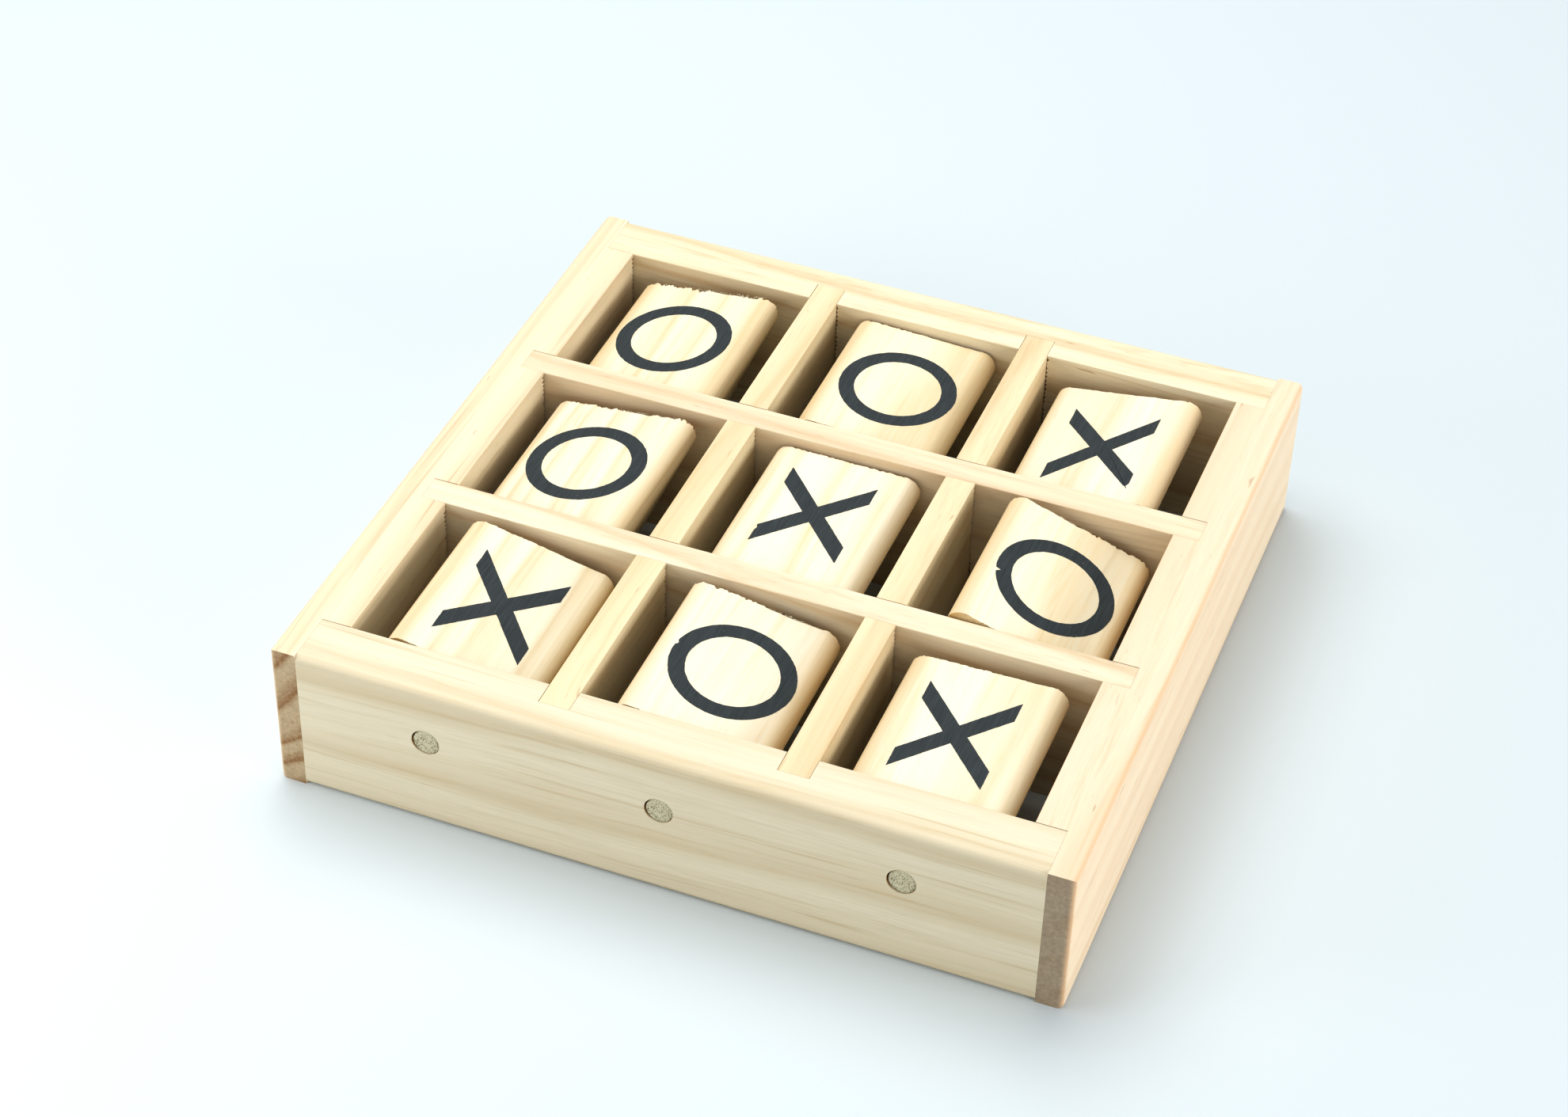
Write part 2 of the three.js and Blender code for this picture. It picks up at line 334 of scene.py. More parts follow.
    # Ends drink in light: the cut fibres look darker, and the rings there look stronger.
    facing = add_node(tree, "ShaderNodeSeparateXYZ", {0: coords.outputs["Normal"]})
    end_on = add_node(tree, "ShaderNodeMath", {0: facing.outputs[axis]}, operation="ABSOLUTE")
    end_mask = add_node(tree, "ShaderNodeMapRange", {
        0: end_on.outputs[0], 1: 0.45, 2: 0.95, 3: 0.0, 4: 1.0})

    strength = add_node(tree, "ShaderNodeMapRange", {
        0: end_mask.outputs[0], 1: 0.0, 2: 1.0, 3: 0.8 * contrast, 4: end_bands})
    # A latewood band isn't solid: the fibres break it into thin lines.
    broken = add_node(tree, "ShaderNodeMapRange", {
        0: fibres.outputs[0], 1: 0.3, 2: 0.62, 3: 0.35, 4: 1.1}, clamp=False)
    band_lines = add_node(tree, "ShaderNodeMath", {
        0: band.outputs[0], 1: broken.outputs[0]}, operation="MULTIPLY")
    band_amount = add_node(tree, "ShaderNodeMath", {
        0: band_lines.outputs[0], 1: strength.outputs[0]}, operation="MULTIPLY", use_clamp=True)
    grown = add_node(tree, "ShaderNodeMix", {
        MIX_FACTOR: band_amount.outputs[0], MIX_A: linear(pale), MIX_B: linear(streak)},
        data_type="RGBA")

    # Fine brown lines about 0.5 mm wide and 60 mm long, in groups.
    line_at = add_node(tree, "ShaderNodeMapping", {
        0: bent.outputs[0], "Location": (seed * 3.0, seed * 5.0, 0.0),
        "Scale": (1.25, 1.25, 0.014)})
    line_noise = add_node(tree, "ShaderNodeTexNoise", {
        0: line_at.outputs[0], "Scale": 1.0, "Detail": 2.0, "Roughness": 0.5})
    line_mask = add_node(tree, "ShaderNodeMapRange", {
        0: line_noise.outputs[0], 1: 0.54, 2: 0.68, 3: 0.0, 4: 1.0})
    group_mask = add_node(tree, "ShaderNodeMapRange", {
        0: tones.outputs[0], 1: 0.42, 2: 0.6, 3: 0.1, 4: lines})
    line_amount = add_node(tree, "ShaderNodeMath", {
        0: line_mask.outputs[0], 1: group_mask.outputs[0]}, operation="MULTIPLY")
    lined_wood = add_node(tree, "ShaderNodeMix", {
        MIX_FACTOR: line_amount.outputs[0], MIX_A: grown.outputs[MIX_RESULT],
        MIX_B: linear(streak)}, data_type="RGBA")
    tone_amount = add_node(tree, "ShaderNodeMapRange", {
        0: tones.outputs[0], 1: 0.4, 2: 0.8, 3: 0.0, 4: 0.4 * contrast})
    toned = add_node(tree, "ShaderNodeMix", {
        MIX_FACTOR: tone_amount.outputs[0], MIX_A: lined_wood.outputs[MIX_RESULT],
        MIX_B: linear(streak)}, data_type="RGBA")
    with_canals = add_node(tree, "ShaderNodeMix", {
        MIX_FACTOR: canal_mask.outputs[0], MIX_A: toned.outputs[MIX_RESULT],
        MIX_B: linear("9a6f43")}, data_type="RGBA")
    fibre_value = add_node(tree, "ShaderNodeMapRange", {
        0: fibres.outputs[0], 1: 0.25, 2: 0.75, 3: 1.0 - 0.07 * fibre, 4: 1.0 + 0.04 * fibre})
    lined = add_node(tree, "ShaderNodeVectorMath", {
        0: with_canals.outputs[MIX_RESULT], "Scale": fibre_value.outputs[0]},
        operation="SCALE")
    # Open pores make the cut ends mottled, about 0.8 mm apart.
    pores = add_node(tree, "ShaderNodeTexNoise", {
        0: log.outputs[0], "Scale": 1.3, "Detail": 3.0, "Roughness": 0.65})
    pore_value = add_node(tree, "ShaderNodeMapRange", {
        0: pores.outputs[0], 1: 0.3, 2: 0.7, 3: 0.86, 4: 1.12})
    end_colour = add_node(tree, "ShaderNodeVectorMath", {
        0: linear(end_tint)[:3], "Scale": pore_value.outputs[0]}, operation="SCALE")
    ended = add_node(tree, "ShaderNodeMix", {
        MIX_FACTOR: end_mask.outputs[0], MIX_A: lined.outputs[0], MIX_B: end_colour.outputs[0]},
        data_type="RGBA", blend_type="MULTIPLY")
    coloured = ended.outputs[MIX_RESULT]
    # A darker tone mixed into the rounded edges, where the normal leans off every axis.
    if edge_tint:
        outward = add_node(tree, "ShaderNodeVectorMath", {
            0: coords.outputs["Normal"]}, operation="ABSOLUTE")
        sides = add_node(tree, "ShaderNodeSeparateXYZ", {0: outward.outputs[0]})
        wider = add_node(tree, "ShaderNodeMath", {
            0: sides.outputs[0], 1: sides.outputs[1]}, operation="MAXIMUM")
        widest = add_node(tree, "ShaderNodeMath", {
            0: wider.outputs[0], 1: sides.outputs[2]}, operation="MAXIMUM")
        edge_mask = add_node(tree, "ShaderNodeMapRange", {
            0: widest.outputs[0], 1: 0.998, 2: 0.8, 3: 0.0, 4: 0.4})
        coloured = add_node(tree, "ShaderNodeMix", {
            MIX_FACTOR: edge_mask.outputs[0], MIX_A: coloured, MIX_B: linear(edge_tint)},
            data_type="RGBA").outputs[MIX_RESULT]
    # Painted shade: past corner_from from the dowel, a block's round corners turn darker and
    # browner, as they look in shade.
    if painted_corner_shade:
        sideways = add_node(tree, "ShaderNodeVectorMath", {
            0: millimetres.outputs[0], 1: (1.0, 0.0, 1.0)}, operation="MULTIPLY")
        from_dowel = add_node(tree, "ShaderNodeVectorMath", {
            0: sideways.outputs[0]}, operation="LENGTH")
        painted_corner_shade_mask = add_node(tree, "ShaderNodeMapRange", {
            0: from_dowel.outputs["Value"], 1: corner_from, 2: corner_from + 1.8,
            3: 0.0, 4: 0.42})
        coloured = add_node(tree, "ShaderNodeMix", {
            MIX_FACTOR: painted_corner_shade_mask.outputs[0], MIX_A: coloured,
            MIX_B: linear(painted_corner_shade)}, data_type="RGBA").outputs[MIX_RESULT]

    roughness = add_node(tree, "ShaderNodeMapRange", {
        0: fibres.outputs[0], 1: 0.2, 2: 0.8, 3: 0.52, 4: 0.7})
    relief = add_node(tree, "ShaderNodeMath", {
        0: band.outputs[0], 1: 0.6, 2: fibres.outputs[0]}, operation="MULTIPLY_ADD")
    bump = add_node(tree, "ShaderNodeBump", {
        "Height": relief.outputs[0], "Strength": 0.55, "Distance": 0.06 * MM})
    shader = add_node(tree, "ShaderNodeBsdfPrincipled", {
        "Base Color": coloured, "Roughness": roughness.outputs[0],
        "Normal": bump.outputs[0], "IOR": 1.5, "Specular IOR Level": 0.35})
    add_node(tree, "ShaderNodeOutputMaterial", {0: shader.outputs[0]})
    return material


def bamboo(name, centre, flesh, fibre_colour, seed):
    """Bamboo dowel, turned and cut with a saw.

    Dark fibre bundles run through pale soft tissue, so its ends are speckled with fine
    dots and its side shows thin straight lines.
    """
    material, tree = new_material(name)
    coords = add_node(tree, "ShaderNodeTexCoord")
    shifted = add_node(tree, "ShaderNodeVectorMath", {
        0: coords.outputs["Object"], 1: centre}, operation="SUBTRACT")
    # Bundles 0.35 mm apart, running straight along the dowel.
    bundle_at = add_node(tree, "ShaderNodeMapping", {
        0: shifted.outputs[0], "Location": (seed, 0.0, seed * 0.7),
        "Scale": (2900.0, 25.0, 2900.0)})
    bundles = add_node(tree, "ShaderNodeTexVoronoi", {0: bundle_at.outputs[0], "Scale": 1.0})
    dot = add_node(tree, "ShaderNodeMapRange", {
        0: bundles.outputs["Distance"], 1: 0.2, 2: 0.48, 3: 1.0, 4: 0.0})
    grit = add_node(tree, "ShaderNodeTexNoise", {
        0: shifted.outputs[0], "Scale": 5200.0, "Detail": 2.0})
    cloud = add_node(tree, "ShaderNodeTexNoise", {
        0: shifted.outputs[0], "Scale": 520.0, "Detail": 2.0})
    cloudy = add_node(tree, "ShaderNodeMapRange", {
        0: cloud.outputs[0], 1: 0.35, 2: 0.6, 3: 0.35, 4: 1.0})
    amount = add_node(tree, "ShaderNodeMath", {
        0: dot.outputs[0], 1: cloudy.outputs[0]}, operation="MULTIPLY")
    mixed = add_node(tree, "ShaderNodeMix", {
        MIX_FACTOR: amount.outputs[0], MIX_A: linear(flesh), MIX_B: linear(fibre_colour)},
        data_type="RGBA")
    grit_value = add_node(tree, "ShaderNodeMapRange", {
        0: grit.outputs[0], 1: 0.3, 2: 0.7, 3: 0.82, 4: 1.08})
    gritty = add_node(tree, "ShaderNodeVectorMath", {
        0: mixed.outputs[MIX_RESULT], "Scale": grit_value.outputs[0]}, operation="SCALE")
    bump = add_node(tree, "ShaderNodeBump", {
        "Height": amount.outputs[0], "Strength": 0.8, "Distance": 0.08 * MM})
    shader = add_node(tree, "ShaderNodeBsdfPrincipled", {
        "Base Color": gritty.outputs[0], "Roughness": 0.72, "Normal": bump.outputs[0],
        "IOR": 1.5, "Specular IOR Level": 0.3})
    add_node(tree, "ShaderNodeOutputMaterial", {0: shader.outputs[0]})
    return material


def pad_print_ink(name, ink, seed):
    """Matt charcoal ink, pad-printed straight on the bare wood.

    The film is so thin that the fibres show through as faint lines, and a few pinholes
    and scuffs let the pale wood show.
    """
    material, tree = new_material(name)
    coords = add_node(tree, "ShaderNodeTexCoord")
    fibre_at = add_node(tree, "ShaderNodeMapping", {
        0: coords.outputs["Object"], "Location": (seed, 0.0, 0.0),
        "Scale": (2600.0, 160.0, 2600.0)})
    fibres = add_node(tree, "ShaderNodeTexNoise", {
        0: fibre_at.outputs[0], "Scale": 1.0, "Detail": 3.0, "Roughness": 0.6})
    tone = add_node(tree, "ShaderNodeMapRange", {
        0: fibres.outputs[0], 1: 0.3, 2: 0.7, 3: 0.82, 4: 1.2})
    shaded = add_node(tree, "ShaderNodeVectorMath", {
        0: linear(ink)[:3], "Scale": tone.outputs[0]}, operation="SCALE")
    # Pinholes about 0.15 mm wide.
    holes = add_node(tree, "ShaderNodeTexNoise", {
        0: coords.outputs["Object"], "Scale": 3300.0, "Detail": 1.0})
    hole_mask = add_node(tree, "ShaderNodeMapRange", {
        0: holes.outputs[0], 1: 0.79, 2: 0.83, 3: 0.0, 4: 0.55})
    mixed = add_node(tree, "ShaderNodeMix", {
        MIX_FACTOR: hole_mask.outputs[0], MIX_A: shaded.outputs[0],
        MIX_B: linear("e4dac0")}, data_type="RGBA")
    bump = add_node(tree, "ShaderNodeBump", {
        "Height": fibres.outputs[0], "Strength": 0.5, "Distance": 0.05 * MM})
    shader = add_node(tree, "ShaderNodeBsdfPrincipled", {
        "Base Color": mixed.outputs[MIX_RESULT], "Roughness": 0.7,
        "Normal": bump.outputs[0], "IOR": 1.5, "Specular IOR Level": 0.25})
    add_node(tree, "ShaderNodeOutputMaterial", {0: shader.outputs[0]})
    return material


# ---------------------------------------------------------------- boards


def eased_box(name, low, high, eased):
    """A box whose edges are rounded as eased(edge direction, edge middle) says, in metres."""
    body = bmesh.new()
    bmesh.ops.create_cube(body, size=1.0)
    size = high - low
    middle = (low + high) / 2
    for vertex in body.verts:
        vertex.co = Vector(vertex.co[i] * size[i] + middle[i] for i in range(3))
    by_radius = {}
    for edge in body.edges:
        direction = (edge.verts[1].co - edge.verts[0].co).normalized()
        centre = (edge.verts[0].co + edge.verts[1].co) / 2 - middle
        radius = eased(direction, centre)
        if radius > 0:
            by_radius.setdefault(radius, []).append(edge)
    for radius in sorted(by_radius, reverse=True):
        edges = [edge for edge in by_radius[radius] if edge.is_valid]
        bmesh.ops.bevel(body, geom=edges, offset=radius, segments=5, profile=0.5,
                        affect="EDGES", clamp_overlap=True)
    return new_object(name, mesh_of(body, name))


def ragged_cutter(low, high, axis, tear, rng):
    """A box for cutting a housing, its walls ragged along their height like a saw cut.

    axis is the thin direction of the housing, in which the wall steps in and out. The
    walls are straight at the top, where the joint shows as a fine line.
    """
    tooth = MM
    steps = round((high.z - low.z) / tooth) * 2
    body = bmesh.new()
    rings = []
    for step in range(steps + 1):
        z = low.z + (high.z - low.z) * step / steps
        straight = step % 2 or z > high.z - 1.7 * MM
        out = [0.0 if straight else rng.uniform(0.2, 1.0) * tear for _ in range(4)]
        corners = []
        for index, (x_high, y_high) in enumerate(((0, 0), (1, 0), (1, 1), (0, 1))):
            point = Vector((high.x if x_high else low.x, high.y if y_high else low.y, z))
            outward = 1 if (x_high if axis == 0 else y_high) else -1
            point[axis] += outward * out[index]
            corners.append(body.verts.new(point))
        rings.append(corners)
    body.faces.new(rings[0][::-1])
    body.faces.new(rings[-1])
    for lower, upper in zip(rings, rings[1:]):
        for index in range(4):
            after = (index + 1) % 4
            body.faces.new((lower[index], lower[after], upper[after], upper[index]))
    bmesh.ops.triangulate(body, faces=body.faces[:])
    bmesh.ops.recalc_face_normals(body, faces=body.faces[:])
    return new_object("cutter", mesh_of(body, "cutter"))


def round_cutter(centre, radius, length):
    """A cylinder along Y for drilling a hole."""
    body = bmesh.new()
    bmesh.ops.create_cone(body, cap_ends=True, segments=72, radius1=radius,
                          radius2=radius, depth=length)
    bmesh.ops.rotate(body, verts=body.verts, matrix=Matrix.Rotation(math.pi / 2, 3, "X"))
    bmesh.ops.translate(body, verts=body.verts, vec=centre)
    return new_object("cutter", mesh_of(body, "cutter"))


def in_fixed_order(mesh):
    """The same mesh with its points and faces sorted, because a cut gives them in any order."""
    points = sorted(range(len(mesh.vertices)), key=lambda index: mesh.vertices[index].co[:])
    place = {old: new for new, old in enumerate(points)}
    faces = []
    for polygon in mesh.polygons:
        corners = [place[index] for index in polygon.vertices]
        first = corners.index(min(corners))
        faces.append(corners[first:] + corners[:first])
    ordered = bpy.data.meshes.new(mesh.name)
    ordered.from_pydata([mesh.vertices[index].co for index in points], [], sorted(faces))
    return ordered


def carve(item, cutters):
    """Cuts every cutter out of the object and removes the cutters; returns a plain mesh."""
    for cutter in cutters:
        cut = item.modifiers.new("cut", "BOOLEAN")
        cut.operation = "DIFFERENCE"
        cut.solver = "EXACT"
        cut.object = cutter
    mesh = in_fixed_order(frozen(item))
    for cutter in cutters:
        bpy.data.objects.remove(cutter)
    return mesh


def divider_names(kind):
    """The two dividers of a kind: cross dividers run left to right, column ones to the back."""
    ends = ("front", "back") if kind == "cross" else ("left", "right")
    return [f"{kind}_divider_{end}" for end in ends]


def housing_cutters(kind, low_z, high_z, settings, rng):
    """One ragged cutter for each divider of a kind, as long as the divider itself."""
    cutters = []
    # Wood splinters further along its grain, as in the side boards, than across it.
    axis, share = (1, 1.0) if kind == "cross" else (0, 0.5)
    grow = Vector((settings.joint_gap, settings.joint_gap, 0))
    for name in divider_names(kind):
        low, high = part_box(name)
        low, high = low - grow, high + grow
        low.z, high.z = low_z, high_z
        cutters.append(ragged_cutter(low, high, axis, settings.tear_out * share, rng))
    return cutters


def dowel_cutters(settings, shift=0.0):
    """One drilled hole for each dowel, right through the frame."""
    cutters = []
    for column in COLUMNS:
        low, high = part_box(f"dowel_{column}")
        centre = (low + high) / 2 + Vector((-shift, 0, shift / 2))
        radius = (high.x - low.x) / 2 + settings.hole_gap
        cutters.append(round_cutter(centre, radius, (high.y - low.y) + 4 * MM))
    return cutters


class BuildSideBoards(bpy.types.Operator):
    """Build the left and right boards, rebated at the ends and housed for the dividers."""

    bl_idname = "tictactoe.build_side_boards"
    bl_label = "Side boards"

    def execute(self, context):
        settings = context.scene.tictactoe_boards
        rng = random.Random(11)
        looks = {
            "left": dict(pith=(-46.0, 48.0), ring=5.4, pale="eadcc0", streak="b8946c", seed=1,
                         lean=(0.01, 0.01), contrast=0.35, end_tint="d3cac0", end_bands=1.2,
                         edge_tint="d9b892"),
            "right": dict(pith=(46.0, -58.0), ring=7.2, pale="e9d8c0", streak="d8bb98",
                          seed=2, lean=(-0.01, 0.015), contrast=0.45, end_tint="bbb8b5",
                          end_bands=0.25, edge_tint="d6a678"),
        }
        front_low, front_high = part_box("front_board")
        back_low, back_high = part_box("back_board")
        for side, outward in (("left", -1), ("right", 1)):
            name = f"side_board_{side}"
            low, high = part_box(name)

            def eased(direction, centre):
                if centre.x * outward > 0:
                    return settings.outer_edge
                return settings.inner_edge if abs(direction.y) > 0.5 else 0.0

            item = eased_box(name + "_pine", low, high, eased)
            cutters = housing_cutters("cross", low.z - MM, high.z + MM, settings, rng)
            for rebate_low, rebate_high in ((front_low, front_high), (back_low, back_high)):
                grow = Vector((settings.joint_gap, settings.joint_gap, MM))
                cut_low, cut_high = rebate_low - grow, rebate_high + grow
                if cut_low.y < 0:
                    cut_low.y -= MM
                else:
                    cut_high.y += MM
                cutters.append(ragged_cutter(cut_low, cut_high, 1, settings.tear_out, rng))
            mesh = carve(item, cutters)
            material = pine(f"planed_pine_side_{side}", "Y", centre_of(name), **looks[side])
            finish_piece(item, mesh, material, "frame", name)
        return {"FINISHED"}


class BuildEndBoards(bpy.types.Operator):
    """Build the front and back boards, drilled for the dowels."""

    bl_idname = "tictactoe.build_end_boards"
    bl_label = "Front and back boards"

    def execute(self, context):
        settings = context.scene.tictactoe_boards
        rng = random.Random(23)
        looks = {
            "front": dict(pith=(-70.0, 58.0), ring=9.6, pale="e2d8c1", streak="bfa77c", seed=3,
                          lean=(0.0, -0.012), contrast=0.5, end_tint="c9b08e", canals=0.1),
            "back": dict(pith=(60.0, 46.0), ring=8.0, pale="e9dec4", streak="cdb28a", seed=4,
                         lean=(0.0, 0.05), contrast=0.8, end_tint="c9b08e"),
        }
        for end, outward in (("front", -1), ("back", 1)):
            name = f"{end}_board"
            low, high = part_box(name)

            def eased(direction, centre):
                if abs(direction.x) < 0.5:
                    return 0.0
                return settings.outer_edge if centre.y * outward > 0 else settings.inner_edge

            item = eased_box(name + "_pine", low, high, eased)
            cutters = housing_cutters("column", low.z - MM, high.z + MM, settings, rng)
            cutters += dowel_cutters(context.scene.tictactoe_dowels, 0.1 * MM)
            mesh = carve(item, cutters)
            material = pine(f"planed_pine_{end}", "X", centre_of(name), **looks[end])
            finish_piece(item, mesh, material, "frame", name)
        return {"FINISHED"}


class BuildDividers(bpy.types.Operator):
    """Build the four dividers, lapped into each other half-way up."""

    bl_idname = "tictactoe.build_dividers"
    bl_label = "Dividers"

    def execute(self, context):
        settings = context.scene.tictactoe_boards
        rng = random.Random(37)
        looks = {
            "cross_divider_front": dict(pith=(22.0, 40.0), ring=6.4, pale="e8dcc4",
                                        streak="c4a276", seed=5, lean=(0.0, 0.07)),
            "cross_divider_back": dict(pith=(-26.0, 36.0), ring=7.4, pale="e8dac0",
                                       streak="c5a27b", seed=6, lean=(0.01, -0.06)),
            "column_divider_left": dict(pith=(30.0, -44.0), ring=8.0, pale="e8d9b9",
                                        streak="cbae82", seed=7, lean=(0.0, 0.04)),
            "column_divider_right": dict(pith=(-32.0, -38.0), ring=7.0, pale="e8d8b8",
                                         streak="c8a97c", seed=8, lean=(0.0, -0.05)),
        }
        for kind, axis, other in (("cross", "X", "column"), ("column", "Y", "cross")):
            for name in divider_names(kind):
                low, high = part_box(name)
                lap = (low.z + high.z) / 2

                def eased(direction, centre):
                    along = direction.x if axis == "X" else direction.y
                    return settings.inner_edge if abs(along) > 0.5 else 0.0

                item = eased_box(name + "_pine", low, high, eased)
                below = (low.z - MM, lap + settings.joint_gap)
                above = (lap - settings.joint_gap, high.z + MM)
                span = below if kind == "cross" else above
                cutters = housing_cutters(other, *span, settings, rng)
                if kind == "cross":
                    cutters += dowel_cutters(context.scene.tictactoe_dowels)
                mesh = carve(item, cutters)
                material = pine(f"sawn_pine_{name}", axis, centre_of(name), contrast=0.6,
                                end_tint="b89a7a", lines=0.22, **looks[name])
                finish_piece(item, mesh, material, "frame", name)
        return {"FINISHED"}


# ---------------------------------------------------------------- dowels


class BuildDowels(bpy.types.Operator):
    """Build the three bamboo dowels with their saw-cut ends."""

    bl_idname = "tictactoe.build_dowels"
    bl_label = "Dowels"

    def execute(self, context):
        settings = context.scene.tictactoe_dowels
        for index, column in enumerate(COLUMNS):
            name = f"dowel_{column}"
            low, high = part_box(name)
            centre = (low + high) / 2
            radius = (high.x - low.x) / 2
            half = (high.y - low.y) / 2 - settings.recess
            soft = 0.18 * MM
            rings = [(-half, 0.6), (-half, radius / MM - soft / MM),
                     (-half + soft * 0.3, radius / MM - soft * 0.3 / MM),
                     (-half + soft, radius / MM)]
            profile = [(y, r * MM) for y, r in rings]
            profile += [(-y, r) for y, r in reversed(profile)]
            mesh = turned_mesh(name, profile, centre, 64)
            item = new_object(name + "_bamboo", mesh)
            material = bamboo(f"turned_bamboo_{column}", centre, settings.flesh,
                              settings.fibre, 1.3 * index + 0.4)
            finish_piece(item, mesh, material, "frame", name)
        return {"FINISHED"}


def turned_mesh(name, profile, centre, sides):
    """A closed body turned about a line along Y, from (y, radius) pairs."""
    body = bmesh.new()
    rings = []
    for y, radius in profile:
        ring = []
        for side in range(sides):
            angle = 2 * math.pi * side / sides
            offset = Vector((radius * math.cos(angle), y, radius * math.sin(angle)))
            ring.append(body.verts.new(centre + offset))
        rings.append(ring)
    for near, far in zip(rings, rings[1:]):
        for side in range(sides):
            after = (side + 1) % sides
            body.faces.new((near[side], near[after], far[after], far[side]))
    body.faces.new(rings[0])
    body.faces.new(rings[-1])
    bmesh.ops.recalc_face_normals(body, faces=body.faces[:])
    return mesh_of(body, name)


# ---------------------------------------------------------------- blocks


def block_tree():
    """Geometry nodes for one turning block, lying along Y round the origin, one face up.

    A triangle with rounded corners is swept along the block, its last ring ragged from
    the saw, the bore is cut out, and torn fibres stand along the upper edge of the back end.
    """
    tree = bpy.data.node_groups.new("turning_block", "GeometryNodeTree")
    tree.is_modifier = True
    sockets = {}
    wanted = (
        ("Side", "NodeSocketFloat", 33 * MM), ("Length", "NodeSocketFloat", 33.5 * MM),
        ("Corner Radius", "NodeSocketFloat", 3 * MM),
        ("Bore Radius", "NodeSocketFloat", 2.8 * MM),
        ("Edge Break", "NodeSocketFloat", 0.3 * MM),
        ("End Roughness", "NodeSocketFloat", 0.2 * MM),
        ("Fibre Length", "NodeSocketFloat", 0.6 * MM),
        ("Seed", "NodeSocketInt", 0), ("Material", "NodeSocketMaterial", None),
    )
    for label, kind, default in wanted:
        socket = tree.interface.new_socket(label, in_out="INPUT", socket_type=kind)
        if default is not None:
            socket.default_value = default
        sockets[label] = socket.identifier
    tree.interface.new_socket("Geometry", in_out="OUTPUT", socket_type="NodeSocketGeometry")
    given = add_node(tree, "NodeGroupInput").outputs

    def calculate(operation, *values):
        return add_node(tree, "ShaderNodeMath", dict(enumerate(values)),
                        operation=operation).outputs[0]

    # The section: corners at 30, 150 and 270 degrees, so that one face lies on top.
    reach = calculate("DIVIDE", given["Side"], math.sqrt(3))
    triangle = add_node(tree, "GeometryNodeCurvePrimitiveCircle", {
        "Resolution": 3, "Radius": reach}, mode="RADIUS")
    turned = add_node(tree, "GeometryNodeTransform", {
        0: triangle.outputs[0], "Rotation": (0.0, 0.0, math.radians(30))})
    rounded = add_node(tree, "GeometryNodeFilletCurve", {
        0: turned.outputs[0], "Count": 14, "Radius": given["Corner Radius"],
        "Limit Radius": True}, mode="POLY")
    section = add_node(tree, "GeometryNodeResampleCurve", {
        0: rounded.outputs[0], "Length": 0.42 * MM}, mode="LENGTH")

    # The path has most of its points close to the two ends.
    path = add_node(tree, "GeometryNodeCurvePrimitiveLine", {
        "Start": (0.0, 0.0, -1.0), "End": (0.0, 0.0, 1.0)}, mode="POINTS")
    points = add_node(tree, "GeometryNodeResampleCurve", {
        0: path.outputs[0], "Count": 9}, mode="COUNT")
    share = add_node(tree, "GeometryNodeSplineParameter").outputs[0]
    signed = calculate("MULTIPLY_ADD", share, 2.0, -1.0)
    inward = calculate("SUBTRACT", 1.0, calculate("ABSOLUTE", signed))
    crowded = calculate("SUBTRACT", 1.0, calculate("POWER", inward, 3.2))
    half = calculate("MULTIPLY", given["Length"], 0.5)
    height = calculate("MULTIPLY", calculate("MULTIPLY", crowded, calculate("SIGN", signed)),
                       half)
    at = add_node(tree, "ShaderNodeCombineXYZ", {2: height})
    placed = add_node(tree, "GeometryNodeSetPosition", {
        0: points.outputs[0], "Position": at.outputs[0]})
    is_end = calculate("GREATER_THAN", calculate("ABSOLUTE", signed), 0.99)
    shrink = calculate("DIVIDE", given["Edge Break"], calculate("MULTIPLY", reach, 0.5))
    scale = calculate("SUBTRACT", 1.0, calculate("MULTIPLY", shrink, is_end))
    sized = add_node(tree, "GeometryNodeSetCurveRadius", {
        0: placed.outputs[0], "Radius": scale})
    swept = add_node(tree, "GeometryNodeCurveToMesh", {
        0: sized.outputs[0], 1: section.outputs[0], "Fill Caps": True})

    # The bore is cut while the prism is still clean, because a cut through a body whose
    # faces cross each other can leave the drill in it.
    bore = add_node(tree, "GeometryNodeMeshCylinder", {
        "Vertices": 56, "Radius": given["Bore Radius"],
        "Depth": calculate("MULTIPLY", given["Length"], 1.2)})
    bored = add_node(tree, "GeometryNodeMeshBoolean", {
        0: swept.outputs[0], 1: bore.outputs[0]}, operation="DIFFERENCE", solver="EXACT")

    # The saw left a ragged edge: the last ring steps in by a noise along its outline, most at
    # the back end.
    position = add_node(tree, "GeometryNodeInputPosition").outputs[0]
    axes = add_node(tree, "ShaderNodeSeparateXYZ", {0: position})
    seeded = add_node(tree, "ShaderNodeVectorMath", {
        0: position, 1: given["Seed"]}, operation="ADD")
    saw = add_node(tree, "ShaderNodeTexNoise", {
        0: seeded.outputs[0], "Scale": 1500.0, "Detail": 3.0, "Roughness": 0.75})
    notch = calculate("MAXIMUM", calculate("SUBTRACT", saw.outputs[0], 0.42), 0.0)
    bite = calculate("MULTIPLY", notch, given["End Roughness"])
    front = calculate("SIGN", axes.outputs[2])
    bite = calculate("MULTIPLY", bite, calculate("MULTIPLY_ADD", front, -0.35, 0.65))
    bite = calculate("MULTIPLY", bite, front)
    at_rim = calculate("GREATER_THAN", calculate("ABSOLUTE", axes.outputs[2]),
                       calculate("MULTIPLY", half, 0.985))
    across = add_node(tree, "ShaderNodeVectorMath", {
        0: position, 1: (1.0, 1.0, 0.0)}, operation="MULTIPLY")
    off_axis = add_node(tree, "ShaderNodeVectorMath", {
        0: across.outputs[0]}, operation="LENGTH").outputs["Value"]
